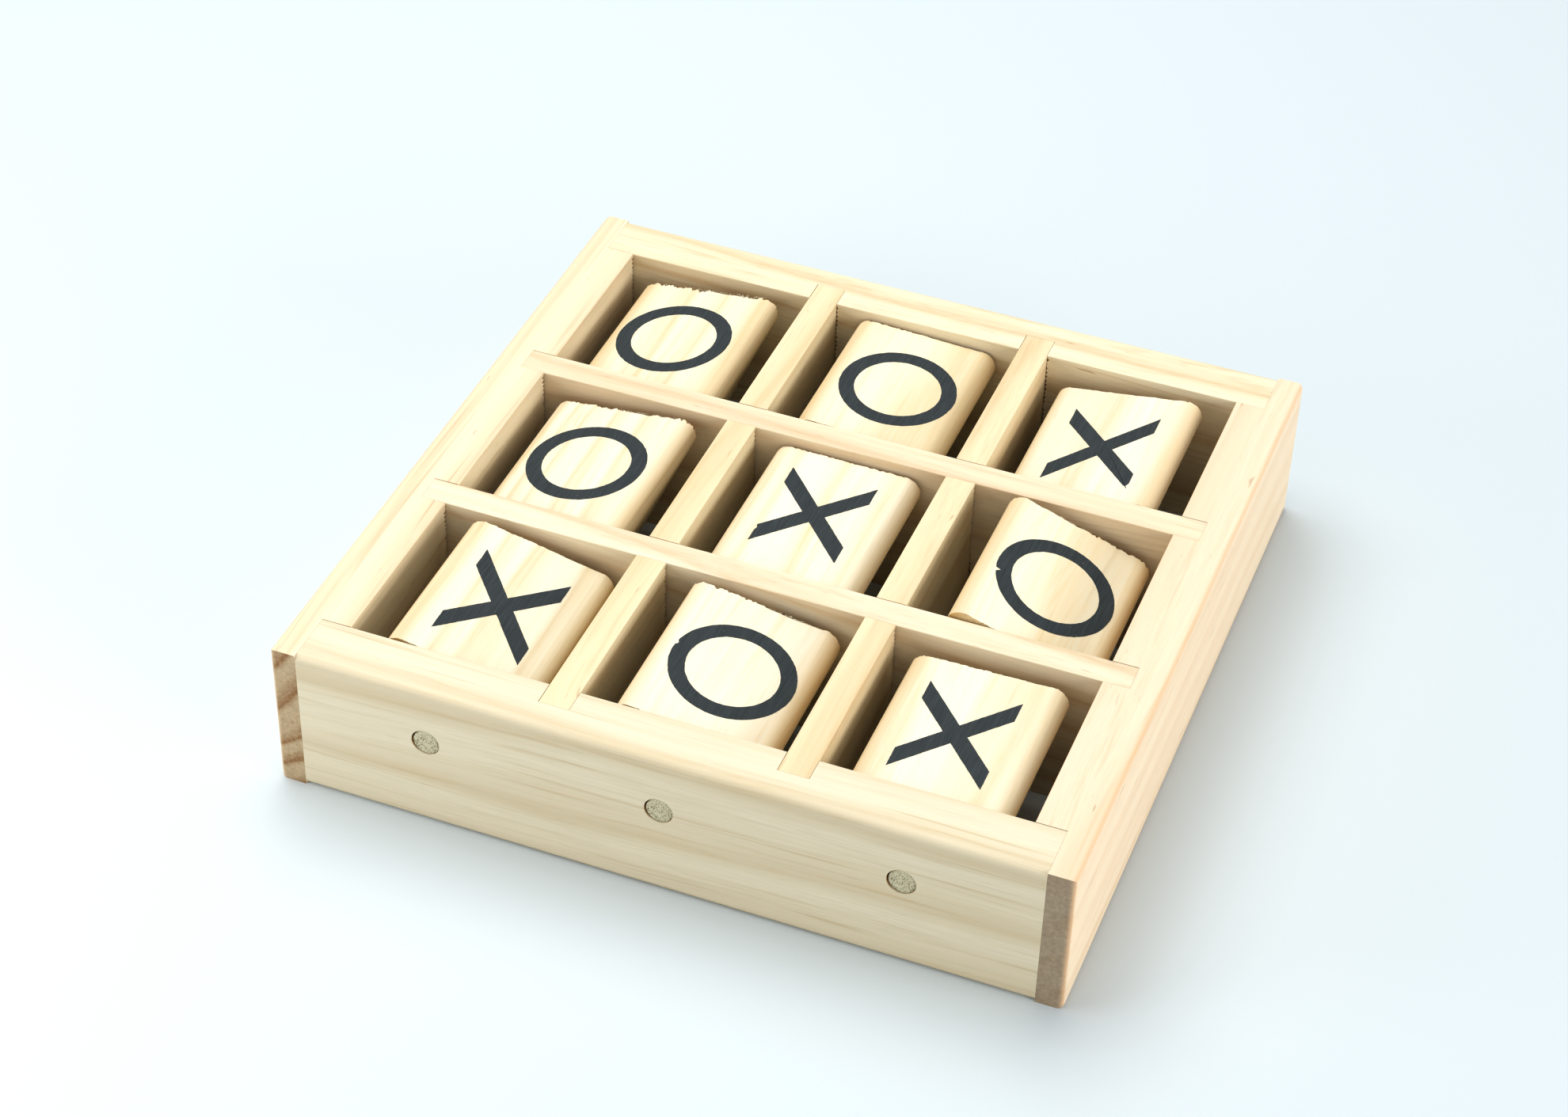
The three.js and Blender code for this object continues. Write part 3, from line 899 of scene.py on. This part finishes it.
    # The bore's own rim stays round.
    outside = calculate("GREATER_THAN", off_axis,
                        calculate("MULTIPLY", given["Bore Radius"], 1.5))
    at_rim = calculate("MULTIPLY", at_rim, outside)
    pull = add_node(tree, "ShaderNodeCombineXYZ", {2: calculate("MULTIPLY", bite, -10.0)})
    ragged = add_node(tree, "GeometryNodeSetPosition", {
        0: bored.outputs[0], "Selection": at_rim, "Offset": pull.outputs[0]})

    # Torn fibres: thin slivers lifted along the upper rim of the back end.
    hair_spots = add_node(tree, "GeometryNodeCurveToPoints", {
        0: section.outputs[0], "Count": 210}, mode="COUNT")
    spot_axes = add_node(tree, "ShaderNodeSeparateXYZ", {0: position})
    chance = add_node(tree, "FunctionNodeRandomValue", {
        "Probability": 0.55, "Seed": given["Seed"]}, data_type="BOOLEAN")
    apothem = calculate("MULTIPLY", reach, 0.5)
    on_top = calculate("GREATER_THAN", spot_axes.outputs[1],
                       calculate("SUBTRACT", apothem, 0.05 * MM))
    kept = add_node(tree, "FunctionNodeBooleanMath", {
        0: on_top, 1: chance.outputs["Value"]}, operation="AND")
    sliver = add_node(tree, "GeometryNodeMeshCone", {
        "Vertices": 4, "Radius Top": 0.0, "Radius Bottom": 0.06 * MM,
        "Depth": given["Fibre Length"]})
    lifted = add_node(tree, "GeometryNodeTransform", {
        0: sliver.outputs[0], "Translation": (0.0, 0.0, -0.25 * MM)})
    swing = add_node(tree, "FunctionNodeRandomValue", {
        "Min": (-0.5, -0.45, -3.0), "Max": (0.05, 0.45, 3.0), "Seed": given["Seed"]},
        data_type="FLOAT_VECTOR")
    stretch = add_node(tree, "FunctionNodeRandomValue", {
        "Min": (0.6, 0.6, 0.15), "Max": (1.6, 1.2, 1.0), "Seed": given["Seed"]},
        data_type="FLOAT_VECTOR")
    hairs = add_node(tree, "GeometryNodeInstanceOnPoints", {
        "Points": hair_spots.outputs[0], "Selection": kept.outputs[0],
        "Instance": lifted.outputs[0], "Rotation": swing.outputs["Value"],
        "Scale": stretch.outputs["Value"]})
    hair_place = add_node(tree, "ShaderNodeCombineXYZ", {
        1: -0.1 * MM, 2: calculate("SUBTRACT", 0.15 * MM, half)})
    hair_moved = add_node(tree, "GeometryNodeTransform", {
        0: hairs.outputs[0], "Translation": hair_place.outputs[0],
        "Rotation": (0.0, math.pi, 0.0)})
    joined = add_node(tree, "GeometryNodeJoinGeometry", {0: ragged.outputs[0]})
    tree.links.new(hair_moved.outputs[0], joined.inputs[0])

    # Lay the block along Y.
    laid = add_node(tree, "GeometryNodeTransform", {
        0: joined.outputs[0], "Rotation": (math.radians(90), 0.0, 0.0)})
    plain = add_node(tree, "GeometryNodeRealizeInstances", {0: laid.outputs[0]})
    finished = add_node(tree, "GeometryNodeSetMaterial", {
        0: plain.outputs[0], "Material": given["Material"]})
    add_node(tree, "NodeGroupOutput", {0: finished.outputs[0]})
    return tree, sockets


def block_pose(place):
    """Where a block stands: a matrix that takes a level block at the origin to its place.

    The tilt is read from the widest flat face that looks up on the CAD block.
    """
    node = frame["nodes"][f"block_{place}"]
    joint = next(j for j in frame["joints"] if j["child"] == f"turning_block_{place}")
    low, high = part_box(f"block_{place}")
    weights = {}
    for polygon in node.data.polygons:
        normal = polygon.normal
        if normal.z > 0.5 and abs(normal.y) < 0.1:
            key = round(math.degrees(math.atan2(normal.x, normal.z)), 1)
            weights[key] = weights.get(key, 0.0) + polygon.area
    tilt = math.radians(max(weights, key=weights.get))
    pivot = Vector(joint["pos_m"])
    pivot.y = (low.y + high.y) / 2
    return Matrix.Translation(pivot) @ Matrix.Rotation(tilt, 4, "Y"), high.y - low.y


def block_side(corner):
    """The sharp side of the block's triangle, from the height of its round lower corner."""
    reach = 0.0
    for place in PLACES:
        pose, _ = block_pose(place)
        level = pose.inverted()
        for vertex in frame["nodes"][f"block_{place}"].data.vertices:
            local = level @ vertex.co
            reach = max(reach, -local.z)
    return (reach + corner) * math.sqrt(3)


BLOCK_LOOKS = {
    "front_left": dict(pith=(24.0, -22.0), ring=5.2, pale="efe6cf", streak="cfb283"),
    "front_middle": dict(pith=(4.0, 52.0), ring=6.4, pale="efe6d1", streak="d2b58a"),
    "front_right": dict(pith=(-24.0, -40.0), ring=8.0, pale="f1e9d4", streak="d8bf92"),
    "centre_left": dict(pith=(10.0, 34.0), ring=2.4, pale="eee5cf", streak="d2b88a"),
    "centre_middle": dict(pith=(-46.0, 20.0), ring=9.0, pale="f2ead6", streak="dbc498"),
    "centre_right": dict(pith=(26.0, 44.0), ring=7.5, pale="efe6cf", streak="d4b98b"),
    "back_left": dict(pith=(-36.0, 26.0), ring=6.6, pale="eee4cb", streak="d4b98a"),
    "back_middle": dict(pith=(18.0, 60.0), ring=7.0, pale="efe4cb", streak="d6bd8f"),
    "back_right": dict(pith=(-14.0, -48.0), ring=7.8, pale="f1e9d5", streak="dac197"),
}


class BuildBlocks(bpy.types.Operator):
    """Build the nine three-sided blocks with the geometry nodes tree."""

    bl_idname = "tictactoe.build_blocks"
    bl_label = "Turning blocks"

    def execute(self, context):
        settings = context.scene.tictactoe_blocks
        tree, sockets = block_tree()
        side = block_side(settings.corner)
        flat_half = side / 2 - settings.corner * math.sqrt(3)
        rounded_from = math.hypot(flat_half, side / (2 * math.sqrt(3))) / MM - 0.4
        # Some blocks were cut with a blunter blade, and are more torn.
        torn = {"back_left": 2.2, "centre_left": 1.6, "front_middle": 1.2, "centre_right": 1.1}
        for index, place in enumerate(PLACES):
            pose, length = block_pose(place)
            # The corner colour given here is painted shade on the block's round corners.
            material = pine(f"sanded_pine_block_{place}", "Y", pose.translation,
                            seed=index + 20.5, contrast=0.66, end_tint="e8dbc4",
                            painted_corner_shade="cfa96b", corner_from=rounded_from,
                            fibre=1.2, lines=0.3, canals=0.12, **BLOCK_LOOKS[place])
            item = new_object(f"block_{place}_pine", bpy.data.meshes.new("block"))
            maker = item.modifiers.new("turning block", "NODES")
            maker.node_group = tree
            values = {
                "Side": side, "Length": length, "Corner Radius": settings.corner,
                "Bore Radius": settings.bore, "Edge Break": settings.edge_break,
                "End Roughness": settings.end_roughness * torn.get(place, 0.6),
                "Fibre Length": 0.45 * MM * torn.get(place, 0.6),
                "Seed": settings.seed + index, "Material": material,
            }
            for label, value in values.items():
                maker[sockets[label]] = value
            mesh = frozen(item)
            if not mesh.polygons:
                raise RuntimeError(f"block {place} came out empty")
            mesh.transform(pose)
            body = f"turning_block_{place}"
            finish_piece(item, mesh, material, body, f"block_{place}")
        return {"FINISHED"}


# ---------------------------------------------------------------- marks

# What faces up on each block, and how far its print lies off the face's middle, in mm.
UPWARD_MARKS = {
    "front_left": ("cross", -0.2, -0.4), "front_middle": ("ring", 0.5, -0.7),
    "front_right": ("cross", -0.5, -0.5), "centre_left": ("ring", -0.1, -0.4),
    "centre_middle": ("cross", -0.5, 0.3), "centre_right": ("ring", 0.0, -0.3),
    "back_left": ("ring", -0.3, -0.7), "back_middle": ("ring", 0.4, -0.9),
    "back_right": ("cross", 0.1, -1.3),
}
# Each block carries the cross, then the ring a third of a turn on, then a bare face.
THIRD = 2 * math.pi / 3
# Where a print is chipped, in mm: the place from its centre, the chip's reach and its depth.
CHIPS = {
    "centre_right": (-10.9, -3.0, 0.45, 1.1), "back_right": (8.2, -10.6, 0.8, 0.5),
    "front_middle": (-11.3, 1.6, 0.6, 0.5), "centre_middle": (-8.2, -7.5, 0.7, 0.3),
}


def spread(x, y, place, seed, amount):
    """How far the ink has spread past a point of an outline, or is chipped back from it."""
    fine = noise.noise(Vector((x * 1900, y * 1900, seed)))
    slow = noise.noise(Vector((x * 500, y * 500, seed + 9)))
    out = (fine * 0.6 + slow * 0.4) * amount
    if place in CHIPS:
        chip_x, chip_y, reach, depth = (value * MM for value in CHIPS[place])
        near = 1 - math.hypot(x - chip_x, y - chip_y) / reach
        out -= max(0.0, near) * depth
    return out


def ring_outlines(settings, place, seed):
    """The nought's outer and inner outlines as lists of points."""
    count = 300
    outlines = []
    for radius in (settings.ring_diameter / 2,
                   settings.ring_diameter / 2 - settings.ring_stroke):
        points = []
        for index in range(count):
            angle = 2 * math.pi * index / count
            x, y = radius * math.cos(angle), radius * math.sin(angle)
            grown = radius + spread(x, y, place, seed, 0.09 * MM)
            points.append((grown * math.cos(angle), grown * math.sin(angle)))
        outlines.append(points)
    return outlines


def cross_outline(settings, place, seed):
    """The cross's outline: two slanting bars whose ends are cut along the dowel."""
    half = settings.cross_width / 2
    top = settings.cross_height / 2
    low = top - settings.cross_cut
    middle = settings.cross_cut / 2
    slope = (top + low) / 2 / half
    waist = middle / slope
    corners = [(half, low), (half, top), (0, middle), (-half, top), (-half, low),
               (-waist, 0), (-half, -low), (-half, -top), (0, -middle), (half, -top),
               (half, -low), (waist, 0)]
    points = []
    for start, end in zip(corners, corners[1:] + corners[:1]):
        length = math.dist(start, end)
        steps = max(1, round(length / (0.3 * MM)))
        normal = ((end[1] - start[1]) / length, (start[0] - end[0]) / length)
        for step in range(steps):
            share = step / steps
            x = start[0] + (end[0] - start[0]) * share
            y = start[1] + (end[1] - start[1]) * share
            out = spread(x, y, place, seed, 0.08 * MM)
            points.append((x + normal[0] * out, y + normal[1] * out))
    return points


def ink_film(name, outlines, height, thickness):
    """A thin closed film between outlines, just above a face at this height."""
    body = bmesh.new()
    rims = []
    for z in (height, height + thickness):
        rims.append([[body.verts.new((x, y, z)) for x, y in points] for points in outlines])
    for lower, upper in zip(*rims):
        for index in range(len(lower)):
            after = (index + 1) % len(lower)
            body.faces.new((lower[index], lower[after], upper[after], upper[index]))
    for rim in rims:
        if len(rim) == 1:
            body.faces.new(rim[0])
        else:
            outer, inner = rim
            for index in range(len(outer)):
                after = (index + 1) % len(outer)
                body.faces.new((outer[index], outer[after], inner[after], inner[index]))
    bmesh.ops.recalc_face_normals(body, faces=body.faces[:])
    bmesh.ops.triangulate(body, faces=[f for f in body.faces if len(f.verts) > 4])
    return mesh_of(body, name)


class BuildMarks(bpy.types.Operator):
    """Print a cross and a ring on each block; its third face stays bare."""

    bl_idname = "tictactoe.build_marks"
    bl_label = "Printed marks"

    def execute(self, context):
        settings = context.scene.tictactoe_marks
        corner = context.scene.tictactoe_blocks.corner
        face_height = block_side(corner) / (2 * math.sqrt(3))
        ink = pad_print_ink("charcoal_pad_print_ink", settings.ink, 2.7)
        for index, place in enumerate(PLACES):
            pose, _ = block_pose(place)
            upward, shift_x, shift_y = UPWARD_MARKS[place]
            turns = {"cross": 0.0, "ring": THIRD}
            if upward == "ring":
                turns = {"ring": 0.0, "cross": -THIRD}
            for mark, turn in turns.items():
                name = f"mark_{mark}_{place}"
                seed = index + (0.5 if mark == "ring" else 0.0)
                chipped = place if turn == 0.0 else None
                if mark == "ring":
                    outlines = ring_outlines(settings, chipped, seed)
                else:
                    outlines = [cross_outline(settings, chipped, seed)]
                mesh = ink_film(name, outlines, face_height + 0.004 * MM, settings.thickness)
                shift = Matrix.Translation((shift_x * MM, shift_y * MM, 0))
                mesh.transform(pose @ Matrix.Rotation(turn, 4, "Y") @ shift)
                item = new_object(name, mesh)
                finish_piece(item, mesh, ink, f"turning_block_{place}", None)
        return {"FINISHED"}


# ---------------------------------------------------------------- stage


def aim(item, target):
    """Turns a light towards a point."""
    away = item.location - Vector(target)
    item.rotation_euler = away.to_track_quat("Z", "Y").to_euler()


def soft_box(name, location, target, size, power, colour):
    """A rectangular soft light."""
    light = bpy.data.lights.new(name, "AREA")
    light.shape = "RECTANGLE"
    light.size, light.size_y = size
    light.energy = power
    light.color = colour
    item = bpy.data.objects.new(name, light)
    item.location = location
    aim(item, target)
    bpy.context.scene.collection.objects.link(item)
    return item


class BuildStage(bpy.types.Operator):
    """Build the pale floor, the soft light and the camera."""

    bl_idname = "tictactoe.build_stage"
    bl_label = "Studio"

    def execute(self, context):
        settings = context.scene.tictactoe_stage
        floor = new_object("floor", bpy.data.meshes.new("floor"))
        body = bmesh.new()
        bmesh.ops.create_grid(body, x_segments=1, y_segments=1, size=6.0)
        body.to_mesh(floor.data)
        body.free()
        material = bpy.data.materials.new("white_laminate_floor")
        material.use_nodes = True
        shader = material.node_tree.nodes["Principled BSDF"]
        shader.inputs["Base Color"].default_value = linear(settings.floor)
        shader.inputs["Roughness"].default_value = 0.5
        shader.inputs["Specular IOR Level"].default_value = 0.25
        floor.data.materials.append(material)

        world = bpy.data.worlds.new("white_surround")
        world.use_nodes = True
        background = world.node_tree.nodes["Background"]
        background.inputs["Color"].default_value = (0.96, 0.99, 1.0, 1.0)
        background.inputs["Strength"].default_value = settings.sky_strength
        context.scene.world = world
        soft_box("overhead_soft_box", (-0.3, 0.2, 0.85), (0, 0, 0), (0.9, 0.7),
                 settings.key_power, (0.985, 1.0, 0.985))
        soft_box("side_soft_box", (0.88, -0.2, 0.24), (0, 0, 0.02), (0.7, 0.3),
                 settings.side_power, (1.0, 0.98, 0.95))
        soft_box("front_soft_box", (-0.3, -0.26, 0.13), (-0.07, -0.07, 0.01), (0.22, 0.2),
                 settings.front_power, (1.0, 0.98, 0.97))

        azimuth, elevation, roll = (math.radians(a) for a in (-20.293, 39.884, -1.673))
        target = Vector((-6.615, 2.962, 14.0)) * MM
        distance = 615.54 * MM
        ahead = Vector((math.sin(azimuth) * math.cos(elevation),
                        math.cos(azimuth) * math.cos(elevation), -math.sin(elevation)))
        right = Vector((math.cos(azimuth), -math.sin(azimuth), 0))
        down = ahead.cross(right)
        across = right * math.cos(roll) + down * math.sin(roll)
        up = right * math.sin(roll) - down * math.cos(roll)
        lens = bpy.data.cameras.new("camera")
        lens.sensor_width = 36.0
        lens.lens = settings.lens
        lens.clip_start = 0.01
        camera = bpy.data.objects.new("camera", lens)
        rotation = Matrix((across, up, -ahead)).transposed()
        camera.matrix_world = Matrix.Translation(target - ahead * distance) @ rotation.to_4x4()
        context.scene.collection.objects.link(camera)
        context.scene.camera = camera
        context.scene.view_settings.view_transform = "Standard"
        context.scene.view_settings.look = "High Contrast"
        return {"FINISHED"}


# ---------------------------------------------------------------- add-on


class TicTacToePanel(bpy.types.Panel):
    """Lists the steps that build the set."""

    bl_idname = "VIEW3D_PT_tictactoe"
    bl_label = "Tic Tac Toe"
    bl_space_type = "VIEW_3D"
    bl_region_type = "UI"
    bl_category = "Tic Tac Toe"

    def draw(self, context):
        for operator in OPERATORS:
            self.layout.operator(operator.bl_idname)


SETTINGS = {
    "tictactoe_boards": BoardSettings,
    "tictactoe_blocks": BlockSettings,
    "tictactoe_marks": MarkSettings,
    "tictactoe_dowels": DowelSettings,
    "tictactoe_stage": StageSettings,
}
OPERATORS = (BuildStage, BuildSideBoards, BuildEndBoards, BuildDividers, BuildDowels,
             BuildBlocks, BuildMarks)
CLASSES = (*SETTINGS.values(), *OPERATORS, TicTacToePanel)


def register():
    for item in CLASSES:
        bpy.utils.register_class(item)
    for name, group in SETTINGS.items():
        setattr(bpy.types.Scene, name, bpy.props.PointerProperty(type=group))


def unregister():
    for name in SETTINGS:
        delattr(bpy.types.Scene, name)
    for item in reversed(CLASSES):
        bpy.utils.unregister_class(item)


def main():
    register()
    for operator in OPERATORS:
        section, name = operator.bl_idname.split(".")
        getattr(getattr(bpy.ops, section), name)()


if __name__ == "__main__":
    main()
